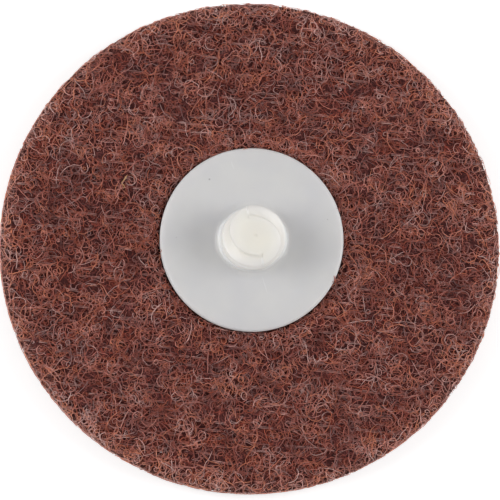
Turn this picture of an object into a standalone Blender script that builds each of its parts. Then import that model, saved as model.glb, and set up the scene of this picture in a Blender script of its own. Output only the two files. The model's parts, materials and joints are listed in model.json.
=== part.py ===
"""Quick-change surface conditioning disc, 3 inch, lying with its abrasive face down.

A round pad of lofty nylon web, needled through a woven backing and die-cut, carries a moulded
nylon button bonded to its back. The button is a thin round flange with a stud that twists into
the holder of a die grinder. Metres, +Z up, origin at the middle of the abrasive face.
"""

import math

import bmesh
import bpy
from mathutils import Matrix, Vector

MM = 0.001

# The pad
PAD_DIAMETER = 76.2 * MM
PAD_THICKNESS = 6.0 * MM
PAD_CROSS_SHRINK = 0.982  # the cut web relaxes a little across its roll, so it is not quite round
PAD_EDGE_RADIUS = 0.6 * MM  # where the knife leaves the abrasive face
PAD_SHOULDER_WIDTH = 2.4 * MM  # the cut pulls the back's edge over into a low, wide shoulder
PAD_SHOULDER_HEIGHT = 1.0 * MM
BACKING_DEPTH = 1.5 * MM  # the woven backing lies this far under the back of the pad
BACKING_WAIST = 0.25 * MM  # the web bulges past the tight backing, which leaves a shallow waist
LOFT = 0.14 * MM  # height of the web's soft unevenness on the back
LOFT_PITCH = 17.0 * MM

# The button's flange, pressed into the back of the pad
FLANGE_DIAMETER = 28.0 * MM
FLANGE_THICKNESS = 1.6 * MM
FLANGE_EDGE_RADIUS = 0.4 * MM
FLANGE_PROUD = 1.0 * MM  # height of the flange's top over the back of the pad
BOND_GAP = 0.3 * MM  # the bond line, left open round and under the flange
SEAT_WALL_HEIGHT = 0.35 * MM  # height of the pressed wall round the flange, over the seat's floor
PRESSED_RING = 2.6 * MM  # width of the ring of web that slopes down to the flange
BUTTON_CENTRE = Vector((0.0, 1.0 * MM, 0.0))  # the button sits a little off the pad's middle

# The boss at the foot of the stud, slightly oval
BOSS_LONG_RADIUS = 5.3 * MM
BOSS_SHORT_RADIUS = 4.85 * MM
BOSS_HEIGHT = 1.2 * MM
BOSS_FILLET = 0.5 * MM
BOSS_EDGE = 0.3 * MM

# The stud, with a right-hand two-start thread
STUD_HEIGHT = 7.0 * MM  # above the flange
CREST_RADIUS = 4.75 * MM
ROOT_RADIUS = 3.0 * MM
STARTS = 2
LEAD = 7.0 * MM
TIP_FLAT_RADIUS = 2.9 * MM
TIP_CONE_RADIUS = 4.4 * MM
TIP_CONE_DROP = 0.32 * MM
TIP_EDGE_DROP = 0.7 * MM
GATE_RADIUS = 0.45 * MM  # the mark left by the moulding gate, in the middle of the tip
GATE_DEPTH = 0.12 * MM

# One groove of the thread, as heights above its own helix line
GROOVE_FLOOR_LOW = -0.35 * MM
GROOVE_FLOOR_HIGH = 0.55 * MM
GROOVE_SHELF_DROP = 0.45 * MM  # the side that faces the tip is almost a flat shelf
GROOVE_SLOPE_RISE = 1.9 * MM  # the side that faces the flange is a long slope
GROOVE_START_ANGLE = math.radians(-73.6)  # the mould's parting plane
GROOVE_SWEEP = math.radians(270)
GROOVE_RUN_OUT = math.radians(45)
GROOVE_START_RISE = 0.34 * MM  # the helix line leaves the tip this far above it

# Fineness of the round forms
PAD_SEGMENTS = 96
PAD_RINGS = 11
BUTTON_SEGMENTS = 96
GROOVE_STEP = math.radians(5)
ARC_STEPS = 4
SHARP_ANGLE = math.radians(35)
MERGE = 0.001 * MM

PAD_RADIUS = PAD_DIAMETER / 2
FLANGE_RADIUS = FLANGE_DIAMETER / 2
FLANGE_TOP = PAD_THICKNESS + FLANGE_PROUD
FLANGE_BASE = FLANGE_TOP - FLANGE_THICKNESS
BOSS_TOP = FLANGE_TOP + BOSS_HEIGHT
STUD_TOP = FLANGE_TOP + STUD_HEIGHT


def clear_scene():
    """Removes whatever the open file holds."""
    for old in list(bpy.data.objects):
        bpy.data.objects.remove(old, do_unlink=True)


def material(name, colour, roughness):
    """A plain Principled finish for one piece."""
    made = bpy.data.materials.new(name)
    made.use_nodes = True
    shader = made.node_tree.nodes["Principled BSDF"]
    shader.inputs["Base Color"].default_value = (*colour, 1.0)
    shader.inputs["Roughness"].default_value = roughness
    shader.inputs["Metallic"].default_value = 0.0
    made.diffuse_color = (*colour, 1.0)
    return made


def add_object(name, bm, finish=None):
    """Turns a bmesh into a named object, smooth apart from its real edges."""
    mesh = bpy.data.meshes.new(name)
    bm.to_mesh(mesh)
    bm.free()
    mesh.shade_smooth()
    mesh.set_sharp_from_angle(angle=SHARP_ANGLE)
    if finish:
        mesh.materials.append(finish)
    made = bpy.data.objects.new(name, mesh)
    bpy.context.scene.collection.objects.link(made)
    return made


def arc(centre, width, height, start, end):
    """Points (r, z) along an elliptical arc of a turned profile, angles in degrees."""
    angles = [math.radians(start + (end - start) * i / ARC_STEPS) for i in range(ARC_STEPS + 1)]
    return [(centre[0] + width * math.cos(a), centre[1] + height * math.sin(a)) for a in angles]


def round_edge(centre, radius, start, end):
    """Points (r, z) along a circular arc of a turned profile, angles in degrees."""
    return arc(centre, radius, radius, start, end)


def turned(profile, segments):
    """A closed turned solid about Z from (r, z) points that start and end on the axis."""
    bm = bmesh.new()
    verts = [bm.verts.new((r, 0.0, z)) for r, z in profile]
    edges = [bm.edges.new(pair) for pair in zip(verts, verts[1:])]
    bmesh.ops.spin(
        bm, geom=verts + edges, axis=(0, 0, 1), cent=(0, 0, 0), angle=2 * math.pi, steps=segments
    )
    bmesh.ops.remove_doubles(bm, verts=bm.verts, dist=MERGE)
    bmesh.ops.recalc_face_normals(bm, faces=bm.faces)
    return bm


def loft_at(x, y):
    """The web's soft unevenness: three crossed waves that never line up into rows."""
    turn = 2 * math.pi / LOFT_PITCH
    waves = (
        math.sin(turn * (0.93 * x + 0.31 * y) + 0.4)
        + math.sin(turn * (-0.42 * x + 1.07 * y) + 2.1)
        + math.sin(turn * (0.66 * x - 0.79 * y) + 4.4)
    )
    return LOFT * waves / 3


def pad_profile():
    """The pad's half section: flat abrasive face, cut edge with the backing's waist, back."""
    low_centre = (PAD_RADIUS - PAD_EDGE_RADIUS, PAD_EDGE_RADIUS)
    low_edge = round_edge(low_centre, PAD_EDGE_RADIUS, -90, 0)
    back_radius = PAD_RADIUS - PAD_SHOULDER_WIDTH
    shoulder_foot = PAD_THICKNESS - PAD_SHOULDER_HEIGHT
    shoulder = arc((back_radius, shoulder_foot), PAD_SHOULDER_WIDTH, PAD_SHOULDER_HEIGHT, 0, 90)
    backing = PAD_THICKNESS - BACKING_DEPTH
    waist = [
        (PAD_RADIUS, backing - 2 * BACKING_WAIST),
        (PAD_RADIUS - BACKING_WAIST, backing),
    ]
    back = [(back_radius * (1 - i / PAD_RINGS), PAD_THICKNESS) for i in range(1, PAD_RINGS + 1)]
    return [(0.0, 0.0), *low_edge, *waist, *shoulder, *back]


def flange_seat_cutter():
    """The hollow that the flange is pressed into: a flat floor, then a slope out to the back."""
    floor = FLANGE_BASE - BOND_GAP
    wall_radius = FLANGE_RADIUS + BOND_GAP
    rim_radius = wall_radius + PRESSED_RING
    clear = PAD_THICKNESS + 2 * LOFT
    section = [
        (0.0, floor),
        (wall_radius, floor),
        (wall_radius, floor + SEAT_WALL_HEIGHT),
        (rim_radius, clear),
        (0.0, clear),
    ]
    return as_cutter("flange_seat_cutter", turned(section, BUTTON_SEGMENTS))


def as_cutter(name, bm):
    """A guide solid that only takes material away from another piece."""
    cutter = add_object(name, bm)
    cutter.location = BUTTON_CENTRE
    cutter.hide_render = True
    cutter.display_type = "WIRE"
    return cutter


def cut(target, cutter):
    """Takes the cutter out of the target with an exact Boolean."""
    tool = target.modifiers.new(cutter.name, "BOOLEAN")
    tool.operation = "DIFFERENCE"
    tool.solver = "EXACT"
    tool.object = cutter


def build_pad():
    """The needled web: turned, eased out of round, made soft on the back, and pressed in."""
    bm = turned(pad_profile(), PAD_SEGMENTS)
    bmesh.ops.scale(bm, verts=bm.verts, vec=(1.0, PAD_CROSS_SHRINK, 1.0))
    for vert in bm.verts:
        if vert.co.z > PAD_THICKNESS - MERGE:
            vert.co.z += loft_at(vert.co.x, vert.co.y)
    pad = add_object("nonwoven_disc", bm, material("maroon_web", (0.145, 0.052, 0.042), 0.9))
    cut(pad, flange_seat_cutter())


def button_profile():
    """The button's half section before its thread is cut: flange, boss, stud and gate mark."""
    edge = FLANGE_EDGE_RADIUS
    flange_low = round_edge((FLANGE_RADIUS - edge, FLANGE_BASE + edge), edge, -90, 0)
    flange_high = round_edge((FLANGE_RADIUS - edge, FLANGE_TOP - edge), edge, 0, 90)
    fillet_centre = (BOSS_LONG_RADIUS + BOSS_FILLET, FLANGE_TOP + BOSS_FILLET)
    fillet = round_edge(fillet_centre, BOSS_FILLET, 270, 180)
    boss_edge_centre = (BOSS_LONG_RADIUS - BOSS_EDGE, BOSS_TOP - BOSS_EDGE)
    boss_edge = round_edge(boss_edge_centre, BOSS_EDGE, 0, 90)
    stud = [
        (CREST_RADIUS, BOSS_TOP),
        (CREST_RADIUS, STUD_TOP - TIP_EDGE_DROP),
        (TIP_CONE_RADIUS, STUD_TOP - TIP_CONE_DROP),
        (TIP_FLAT_RADIUS, STUD_TOP),
    ]
    gate = [
        (GATE_RADIUS, STUD_TOP),
        (0.8 * GATE_RADIUS, STUD_TOP - GATE_DEPTH),
        (0.0, STUD_TOP - GATE_DEPTH),
    ]
    return [(0.0, FLANGE_BASE), *flange_low, *flange_high, *fillet, *boss_edge, *stud, *gate]


def make_boss_oval(bm):
    """Draws in what the boss has outside the stud, most across Y: r = crest + outside * share."""
    short_share = (BOSS_SHORT_RADIUS - CREST_RADIUS) / (BOSS_LONG_RADIUS - CREST_RADIUS)
    foot_radius = BOSS_LONG_RADIUS + BOSS_FILLET
    for vert in bm.verts:
        radius = vert.co.xy.length
        at_boss_height = FLANGE_TOP - MERGE < vert.co.z < BOSS_TOP + MERGE
        if at_boss_height and CREST_RADIUS + MERGE < radius < foot_radius + MERGE:
            across = (vert.co.y / radius) ** 2
            share = 1 - across * (1 - short_share)
            drawn_in = CREST_RADIUS + (radius - CREST_RADIUS) * share
            vert.co.xy *= drawn_in / radius


def groove_section():
    """One groove across its helix, as (r, height) points that reach past the crest."""
    depth = CREST_RADIUS - ROOT_RADIUS
    past = 0.3  # share of the groove's depth by which the cutter stands outside the crest
    outside = CREST_RADIUS + past * depth
    return [
        (ROOT_RADIUS, GROOVE_FLOOR_LOW),
        (ROOT_RADIUS, GROOVE_FLOOR_HIGH),
        (outside, GROOVE_FLOOR_HIGH + GROOVE_SLOPE_RISE * (1 + past)),
        (outside, GROOVE_FLOOR_LOW - GROOVE_SHELF_DROP * (1 + past)),
    ]


def groove_cutter(start):
    """A groove swept down its helix, blunt at the parting plane, running out at its foot."""
    bm = bmesh.new()
    steps = round(GROOVE_SWEEP / GROOVE_STEP)
    first_angle = GROOVE_START_ANGLE + 2 * math.pi * start / STARTS
    run_out_depth = 1.1 * (CREST_RADIUS - ROOT_RADIUS)
    rings = []
    for step in range(steps + 1):
        turned_by = GROOVE_SWEEP * step / steps
        left = GROOVE_SWEEP - turned_by
        lift = run_out_depth * max(0.0, 1 - left / GROOVE_RUN_OUT)
        height = STUD_TOP + GROOVE_START_RISE - LEAD * turned_by / (2 * math.pi)
        place = Matrix.Rotation(first_angle - turned_by, 4, "Z")
        section = [Vector((r + lift, 0.0, height + z)) for r, z in groove_section()]
        rings.append([bm.verts.new(place @ point) for point in section])
    for ring, following in zip(rings, rings[1:]):
        for i in range(len(ring)):
            j = (i + 1) % len(ring)
            bm.faces.new((ring[i], ring[j], following[j], following[i]))
    bm.faces.new(rings[0])
    bm.faces.new(rings[-1])
    bmesh.ops.recalc_face_normals(bm, faces=bm.faces)
    return as_cutter(f"groove_cutter_{start + 1}", bm)


def build_button():
    """The moulded button: a turned blank with an oval boss and two thread grooves."""
    bm = turned(button_profile(), BUTTON_SEGMENTS)
    make_boss_oval(bm)
    nylon = material("natural_nylon", (0.62, 0.61, 0.58), 0.38)
    button = add_object("threaded_button", bm, nylon)
    button.location = BUTTON_CENTRE
    for start in range(STARTS):
        cut(button, groove_cutter(start))


clear_scene()
build_pad()
build_button()
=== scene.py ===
"""The looks of a 3 inch quick-change surface conditioning disc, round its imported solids.

The sections follow the object from the web's matted body and its fibres to the moulded button,
and the studio comes last. Everything is in metres, with +Z from the abrasive face to the back.
"""

import json
import math

import bpy
import numpy as np
from mathutils import Matrix, Vector


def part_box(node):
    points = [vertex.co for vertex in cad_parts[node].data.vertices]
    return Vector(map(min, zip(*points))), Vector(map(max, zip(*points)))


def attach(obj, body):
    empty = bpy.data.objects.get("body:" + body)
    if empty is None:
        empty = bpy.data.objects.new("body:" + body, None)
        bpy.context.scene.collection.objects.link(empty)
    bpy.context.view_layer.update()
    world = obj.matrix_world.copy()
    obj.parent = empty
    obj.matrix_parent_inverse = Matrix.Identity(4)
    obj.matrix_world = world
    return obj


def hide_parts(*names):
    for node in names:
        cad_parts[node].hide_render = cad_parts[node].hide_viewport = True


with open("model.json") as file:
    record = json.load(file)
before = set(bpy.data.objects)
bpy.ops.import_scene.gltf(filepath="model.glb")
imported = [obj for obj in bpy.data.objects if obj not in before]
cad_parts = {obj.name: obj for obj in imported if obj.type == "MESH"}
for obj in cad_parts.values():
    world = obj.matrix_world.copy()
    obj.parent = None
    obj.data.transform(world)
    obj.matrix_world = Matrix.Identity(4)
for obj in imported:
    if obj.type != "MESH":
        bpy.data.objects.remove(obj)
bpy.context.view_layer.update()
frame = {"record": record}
MM = 0.001


# The matted body of the web: crimped nylon staple, needled and bonded by maroon resin, then cut
# round by a die. It is what shows in the pits between the upper fibres, so it lies a little
# under the pad's real surface, which the fibres of the later sections make up.

disc_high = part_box("nonwoven_disc")[1]
button_low, button_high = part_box("threaded_button")
flange_face = {m["name"]: m for m in frame["record"]["mounts"]}["flange_face"]["pos_m"]

HALF_LONG = disc_high.x
HALF_SHORT = disc_high.y
HALF_AXES = np.array([HALF_LONG, HALF_SHORT])
FLANGE_TOP = flange_face[2]
FLANGE_RADIUS = button_high.x
BUTTON_Y = flange_face[1]
FLANGE_PROUD = 1.0 * MM
BACK = FLANGE_TOP - FLANGE_PROUD
BOND_GAP = 0.3 * MM
SEAT_RADIUS = FLANGE_RADIUS + BOND_GAP
SEAT_MARGIN = 0.1 * MM
BODY_FLOOR = button_low.z - BOND_GAP - 0.3 * MM
PRESSED_RING = 1.8 * MM
PRESSED_DEPTH = 0.15 * MM
SHOULDER_WIDTH = 2.4 * MM
SHOULDER_HEIGHT = 1.0 * MM
LOFT = 0.14 * MM
LOFT_PITCH = 17.0 * MM
MATTED_DEPTH = 0.55 * MM
EDGE_INSET = 0.07 * MM
WEFT_PITCH = 1.18 * MM
WEFT_HEADING = math.radians(-5.8)
BODY_COLUMNS = 300
BODY_ROWS_FACE = 16
BODY_ROWS_EDGE = 8
BODY_ROWS_BACK = 36
CLOSER_AT_RIM = 1.15
LUMPS = ((0.13 * MM, 2.6 * MM, 11), (0.05 * MM, 0.9 * MM, 12))  # height, pitch and seed
LUMP_LIMIT = 0.24 * MM
CUT_FROM = 0.985
CUT_LUMPS = 0.3


def smooth_rise(t):
    """Eases from 0 to 1 as t does: 3 t squared minus 2 t cubed."""
    t = np.clip(t, 0, 1)
    return t * t * (3 - 2 * t)


def unit_at(angle):
    """Flat unit vectors at the given angles."""
    return np.stack([np.cos(angle), np.sin(angle)], axis=-1)


def to_unit(vectors):
    """The given vectors at length 1."""
    return vectors / np.maximum(np.linalg.norm(vectors, axis=-1, keepdims=True), 1e-12)


def raised(place, height):
    """Gives flat places their heights."""
    return np.concatenate([place, height[..., None]], axis=-1)


def rim_share(place):
    """How far out a place lies: 0 in the middle, 1 on the slightly oval outline."""
    return np.hypot(place[..., 0] / HALF_LONG, place[..., 1] / HALF_SHORT)


def from_button(place):
    """Distance of a place from the button's axis."""
    return np.hypot(place[..., 0], place[..., 1] - BUTTON_Y)


def back_height(place):
    """Height of the back: its loft, less the drop of the rim's shoulder and of the flange's seat.

    The loft is three crossed waves, and the shoulder is a quarter of an ellipse.
    """
    x, y = place[..., 0], place[..., 1]
    turn = math.tau / LOFT_PITCH
    loft = LOFT / 3 * (
        np.sin(turn * (0.93 * x + 0.31 * y) + 0.4)
        + np.sin(turn * (-0.42 * x + 1.07 * y) + 2.1)
        + np.sin(turn * (0.66 * x - 0.79 * y) + 4.4)
    )
    past = np.clip((rim_share(place) - 1) * HALF_LONG / SHOULDER_WIDTH + 1, 0, 1)
    shoulder = SHOULDER_HEIGHT * (1 - np.sqrt(1 - past**2))
    pressed = PRESSED_DEPTH * (1 - smooth_rise((from_button(place) - SEAT_RADIUS) / PRESSED_RING))
    return BACK + loft * (1 - past) - shoulder - pressed


def cloud(places, wavelength, seed, waves=28):
    """A soft random field of unit strength over flat or solid places.

    It is the sum of many sine waves of random direction and phase.
    """
    draw = np.random.default_rng(seed)
    heading = to_unit(draw.normal(size=(waves, 3)))
    count = math.tau / (wavelength * draw.uniform(0.6, 1.6, (waves, 1)))
    phase = draw.uniform(0, math.tau, waves)
    axes = places.shape[-1]
    angle = places.reshape(-1, axes) @ (heading * count)[:, :axes].T + phase
    total = np.sin(angle).sum(axis=1) * math.sqrt(2 / waves)
    return total.reshape(places.shape[:-1])


def weft_rows(place):
    """The woven backing felt through the web: 1 over each row of weft, -1 midway between rows."""
    across = place[..., 1] * math.cos(WEFT_HEADING) - place[..., 0] * math.sin(WEFT_HEADING)
    return np.cos(math.tau / WEFT_PITCH * across)


def grid_mesh(name, places, poles):
    """A mesh from a grid of places, rows by columns, closed round its columns and at both poles."""
    rows, columns = places.shape[:2]
    here = np.arange(rows * columns).reshape(rows, columns)
    following = np.roll(here, -1, axis=1)
    quads = np.stack([here[:-1], following[:-1], following[1:], here[1:]], axis=-1).reshape(-1, 4)
    first, last = np.full(columns, rows * columns), np.full(columns, rows * columns + 1)
    start = np.stack([first, following[0], here[0]], axis=-1)
    end = np.stack([here[-1], following[-1], last], axis=-1)
    verts = np.concatenate([places.reshape(-1, 3), np.array(poles, float)])
    mesh = bpy.data.meshes.new(name)
    mesh.from_pydata(verts.tolist(), [], quads.tolist() + start.tolist() + end.tolist())
    mesh.shade_smooth()
    return mesh


def show(name, mesh, material):
    """Puts a finished mesh into the scene as a piece of the disc, riding on its one body."""
    mesh.materials.append(material)
    piece = bpy.data.objects.new(name, mesh)
    bpy.context.scene.collection.objects.link(piece)
    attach(piece, "root")
    return piece


def body_places():
    """The matted body's grid, from the middle of the abrasive face round the edge to the seat.

    Face rows: radius grows from 0 to the edge at the face's height. Edge rows: height grows at
    the edge's radius. Back rows: each ray runs from the outline in to the flange's seat.
    """
    unit = unit_at(np.arange(BODY_COLUMNS) * math.tau / BODY_COLUMNS)
    outline = unit * HALF_AXES * (1 - EDGE_INSET / HALF_LONG)
    seat = unit * SEAT_RADIUS + np.array([0, BUTTON_Y])
    level = np.ones(BODY_COLUMNS)
    share = np.linspace(1 / BODY_ROWS_FACE, 1, BODY_ROWS_FACE)[:, None, None]
    face = raised(outline * share, np.full((BODY_ROWS_FACE, BODY_COLUMNS), MATTED_DEPTH))
    shoulder_foot = BACK - SHOULDER_HEIGHT - MATTED_DEPTH / 2
    edge_height = np.linspace(MATTED_DEPTH, shoulder_foot, BODY_ROWS_EDGE + 2)[1:-1, None] * level
    edge = raised(np.broadcast_to(outline, (BODY_ROWS_EDGE, BODY_COLUMNS, 2)), edge_height)
    inward = np.linspace(0, 1, BODY_ROWS_BACK)[:, None, None] ** CLOSER_AT_RIM
    back = outline + (seat - outline) * inward
    back = raised(back, back_height(back) - MATTED_DEPTH)
    return np.concatenate([face, edge, back, raised(seat, BODY_FLOOR * level)[None]])


def outward(places):
    """Unit normals of a closed-round grid: the cross product of its two central differences."""
    around = np.roll(places, -1, axis=1) - np.roll(places, 1, axis=1)
    along = np.gradient(places, axis=0)
    return to_unit(np.cross(around, along))


NODE_PITCH = 220


def wire(made, inputs):
    """Links or sets a node's inputs by name or number, and puts it right of all that feeds it.

    A node given as an input stands for its first output in use.
    """
    for key, given in inputs.items():
        if isinstance(given, bpy.types.Node):
            given = next(output for output in given.outputs if output.enabled)
        if isinstance(given, bpy.types.NodeSocket):
            made.id_data.links.new(given, made.inputs[key])
            made.location.x = max(made.location.x, given.node.location.x + NODE_PITCH)
        else:
            made.inputs[key].default_value = given
    in_column = sum(other.location.x == made.location.x for other in made.id_data.nodes)
    made.location.y = -NODE_PITCH * in_column


def node(tree, kind, inputs=None, **options):
    """Adds a shader node with the given options and inputs."""
    made = tree.nodes.new("ShaderNode" + kind)
    for name, value in options.items():
        setattr(made, name, value)
    wire(made, inputs or {})
    return made


def maths(tree, operation, *inputs):
    """A calculation on single values."""
    return node(tree, "Math", dict(enumerate(inputs)), operation=operation)


def vector(tree, operation, *inputs):
    """A calculation on vectors."""
    return node(tree, "VectorMath", dict(enumerate(inputs)), operation=operation)


def mapped(tree, value, low, high, to_low=0.0, to_high=1.0, kind="LINEAR"):
    """A value whose range from low to high is carried over to another, and held at its ends."""
    ends = {"From Min": low, "From Max": high, "To Min": to_low, "To Max": to_high}
    return node(tree, "MapRange", {"Value": value, **ends}, interpolation_type=kind)


def noise(tree, place, scale, detail=2.0):
    """Soft noise of so many waves a metre."""
    return node(tree, "TexNoise", {"Vector": place, "Scale": scale, "Detail": detail})


def blended(tree, share, first, second, kind="MIX"):
    """The first colour blended with the second by its share."""
    inputs = {"Factor": share, "A": first, "B": second}
    return node(tree, "Mix", inputs, data_type="RGBA", blend_type=kind)


def shade(tree, place, stops):
    """A colour ramp whose stops are (place, colour)."""
    ramp = node(tree, "ValToRGB", {"Fac": place})
    bands = ramp.color_ramp.elements
    while len(bands) < len(stops):
        bands.new(0.5)
    for band, (where, colour) in zip(bands, stops):
        band.position = where
        band.color = (*colour, 1)
    return ramp


def blank(name):
    """A new material with its node tree and its shader."""
    material = bpy.data.materials.new(name)
    material.use_nodes = True
    return material, material.node_tree, material.node_tree.nodes["Principled BSDF"]


def places_on(tree):
    """The places on the object, in metres."""
    return node(tree, "TexCoord").outputs["Object"]


STRAND_WARP = 700.0
STRAND_SWING = 1.2 * MM
ARC_RADII = (0.27, 0.95)
STRAND_CORE = 0.3


def curled_strands_group():
    """Curled strands: in each cell of a flat Voronoi an arc of its own radius round its point.

    Distance from the point less the radius is 0 along the arc, and a full thickness from it the
    strand has faded out.
    """
    group = bpy.data.node_groups.new("curled_strands", "ShaderNodeTree")
    for name in ("Vector", "Shift"):
        group.interface.new_socket(name, in_out="INPUT", socket_type="NodeSocketVector")
    for name, way in (("Curls per m", "INPUT"), ("Thickness", "INPUT"), ("Strand", "OUTPUT")):
        group.interface.new_socket(name, in_out=way, socket_type="NodeSocketFloat")
    given = group.nodes.new("NodeGroupInput").outputs
    moved = vector(group, "ADD", given["Vector"], given["Shift"])
    warp = noise(group, moved, STRAND_WARP, 1.0).outputs["Color"]
    centred = vector(group, "SUBTRACT", warp, (0.5, 0.5, 0.5))
    swing = node(group, "VectorMath", {0: centred, "Scale": STRAND_SWING}, operation="SCALE")
    places = {"Vector": vector(group, "ADD", moved, swing), "Scale": given["Curls per m"]}
    cells = node(group, "TexVoronoi", places, voronoi_dimensions="2D").outputs
    own = node(group, "SeparateXYZ", {0: cells["Color"]})
    off_arc = maths(group, "SUBTRACT", cells["Distance"], mapped(group, own, 0.0, 1.0, *ARC_RADII))
    core = maths(group, "MULTIPLY", given["Thickness"], STRAND_CORE)
    strand = mapped(group, maths(group, "ABSOLUTE", off_arc), core, given["Thickness"], 1.0, 0.0)
    wire(group.nodes.new("NodeGroupOutput"), {"Strand": strand})
    return group


curled_strands = curled_strands_group()

# The pits' colour is painted shade: the maroon resin drawn near black where the pits lie deep.
PIT_SHADE_MAROON = (0.034, 0.0075, 0.0072)
DEEP_STRAND = (0.24, 0.075, 0.068)
RED_STRAND = (0.36, 0.080, 0.054)
# Painted light: the pale tint the web's strands take near the outline, where the shoulder catches
# light.
WEB_RIM_LIGHT = (0.62, 0.30, 0.24)
# Each level's lightness is painted shade: the deeper the level, the darker it is drawn.
STRAND_LEVELS = (  # curls a metre, thickness and lightness, from the deepest level up
    (1700, 0.160, 0.20),
    (1250, 0.125, 0.34),
    (1050, 0.105, 0.50),
    (900, 0.088, 0.68),
    (780, 0.072, 0.95),
)
ROWS_FELT = 0.022


def matted_web_material():
    """Dark matted web: five levels of strands over near-black pits, the lower levels darker with
    painted shade.

    Noise darkens the strands with painted shade in deeper pits, mostly between the rows of weft,
    and all grow paler near the outline with painted light. On the wall the pattern lies along the
    arc and the height.
    """
    material, tree, shader = blank("matted_web")
    source = places_on(tree)
    turn = math.tau / WEFT_PITCH
    heading = (-turn * math.sin(WEFT_HEADING), turn * math.cos(WEFT_HEADING), 0)
    rows = maths(tree, "COSINE", vector(tree, "DOT_PRODUCT", source, heading))
    pits = maths(tree, "MULTIPLY_ADD", rows, ROWS_FELT, noise(tree, source, 850.0))
    # Painted shade in the pits: where noise and the gaps between weft rows make pits, strands fade
    # dark.
    pit_shade_factor = mapped(tree, pits, 0.38, 0.54, 0.36)

    axes = node(tree, "SeparateXYZ", {0: source}).outputs
    arc = maths(tree, "MULTIPLY", maths(tree, "ARCTAN2", axes["Y"], axes["X"]), HALF_LONG)
    unrolled = node(tree, "CombineXYZ", {"X": arc, "Y": axes["Z"]})
    share = vector(tree, "MULTIPLY", source, (1 / HALF_LONG, 1 / HALF_SHORT, 0))
    out = vector(tree, "LENGTH", share)
    sides = {"Factor": mapped(tree, out, 0.990, 0.992), "A": source, "B": unrolled}
    laid = node(tree, "Mix", sides, data_type="VECTOR")

    height = 0.0
    for level, (pitch, thickness, lightness) in enumerate(STRAND_LEVELS):
        inputs = {"Vector": laid, "Curls per m": pitch, "Thickness": thickness}
        inputs["Shift"] = (0.013 * level, 0.007 * level, 0)
        strands = node(tree, "Group", inputs, node_tree=curled_strands)
        height = maths(tree, "MAXIMUM", maths(tree, "MULTIPLY", strands, lightness), height)
    height = maths(tree, "MULTIPLY", height, pit_shade_factor)

    tone = shade(tree, noise(tree, source, 480.0, 3.0), [(0.40, DEEP_STRAND), (0.60, RED_STRAND)])
    # Painted light near the outline: the strands blend towards a paler tint.
    paler = blended(tree, mapped(tree, out, 0.95, 0.99, 0.0, 0.75), tone, (*WEB_RIM_LIGHT, 1))
    colour = blended(tree, height, (*PIT_SHADE_MAROON, 1), paler)
    bump = node(tree, "Bump", {"Strength": 0.8, "Distance": 0.12 * MM, "Height": height})
    wire(shader, {"Base Color": colour, "Normal": bump, "Roughness": 0.85, "Specular IOR Level": 0.15})
    return material


body_grid = body_places()
lumps = sum(high * cloud(body_grid, pitch, seed) for high, pitch, seed in LUMPS)
lumps = np.clip(lumps, -LUMP_LIMIT, LUMP_LIMIT)
at_seat = (from_button(body_grid) < SEAT_RADIUS + SEAT_MARGIN) & (body_grid[..., 2] > BACK / 2)
lumps[at_seat] = 0
lumps[rim_share(body_grid) > CUT_FROM] *= CUT_LUMPS
body_grid = body_grid + outward(body_grid) * lumps[..., None]
body_mesh = grid_mesh("web_body", body_grid, ((0, 0, MATTED_DEPTH), (0, BUTTON_Y, BODY_FLOOR)))
web_body = show("web_body", body_mesh, matted_web_material())
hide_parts("nonwoven_disc")


# The loose fibres of the back: crimped nylon some 0.12 mm thick with its coat of resin, curled
# over each other down to the matted web. They are needled in from the other side, so their ends
# dive under, and the die cuts them off at the rim.

FIBRE_STEPS = 8
FIBRE_SIDES = 3
ALONG = np.linspace(0, 1, FIBRE_STEPS + 1)
MIDDLE = FIBRE_STEPS // 2
BACK_FIBRES = 3700
BACK_LAYERS = 3
FIBRE_RADIUS = 0.056 * MM
TIGHTEST_CURL = 2.7
OUTLINE_PROUD = 0.16 * MM
FLANGE_CLEAR = 0.07 * MM
BACK_DEPTHS = np.array([0.03, 0.50, 0.13, 0.35]) * MM  # shallow, deep, ripple, dive
PATCH_DEPTH = 0.08 * MM
ROW_DEPTH = 0.028 * MM
# Where the back's fibres are painted paler with painted light, near the outline.
RIM_LIGHT_FROM = 0.92
RIM_LIGHT_WIDTH = 0.08
TINTS = 24
CELL_MARGIN = 0.1
PALEST_INSIDE = 0.88


def wander(draw, curl, step):
    """Walks on a flat sheet: the heading is the running sum of a drifting curl times the step."""
    shape = (len(curl), FIBRE_STEPS)
    drift = draw.normal(size=shape).cumsum(axis=1) * 0.30
    kink = draw.normal(size=shape) * 0.20
    side = np.sign(draw.normal(size=(len(curl), 1)))
    turn = curl[:, None] * side * (0.8 + drift) * step[:, None] + kink
    heading = draw.uniform(0, math.tau, (len(curl), 1)) + np.cumsum(turn, axis=1)
    stride = unit_at(heading) * step[:, None, None]
    return np.concatenate([np.zeros((len(curl), 1, 2)), np.cumsum(stride, axis=1)], axis=1)


def cut_short(walk, allowed):
    """Ends each walk where it first leaves the allowed region, with its points spread evenly."""
    fine = 4
    points = walk.shape[1]
    at = np.linspace(0, points - 1, (points - 1) * fine + 1)
    low = np.minimum(at.astype(int), points - 2)
    part = (at - low)[None, :, None]
    dense = walk[:, low] * (1 - part) + walk[:, low + 1] * part
    outside = ~allowed(dense)
    last = np.where(outside.any(axis=1), outside.argmax(axis=1) - 1, len(at) - 1)
    long_enough = np.nonzero(last >= 2 * fine)[0]
    pick = last[long_enough, None] * np.linspace(0, 1, points)[None]
    low = np.minimum(pick.astype(int), len(at) - 2)
    part = (pick - low)[..., None]
    rows = long_enough[:, None]
    return dense[rows, low] * (1 - part) + dense[rows, low + 1] * part


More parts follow.
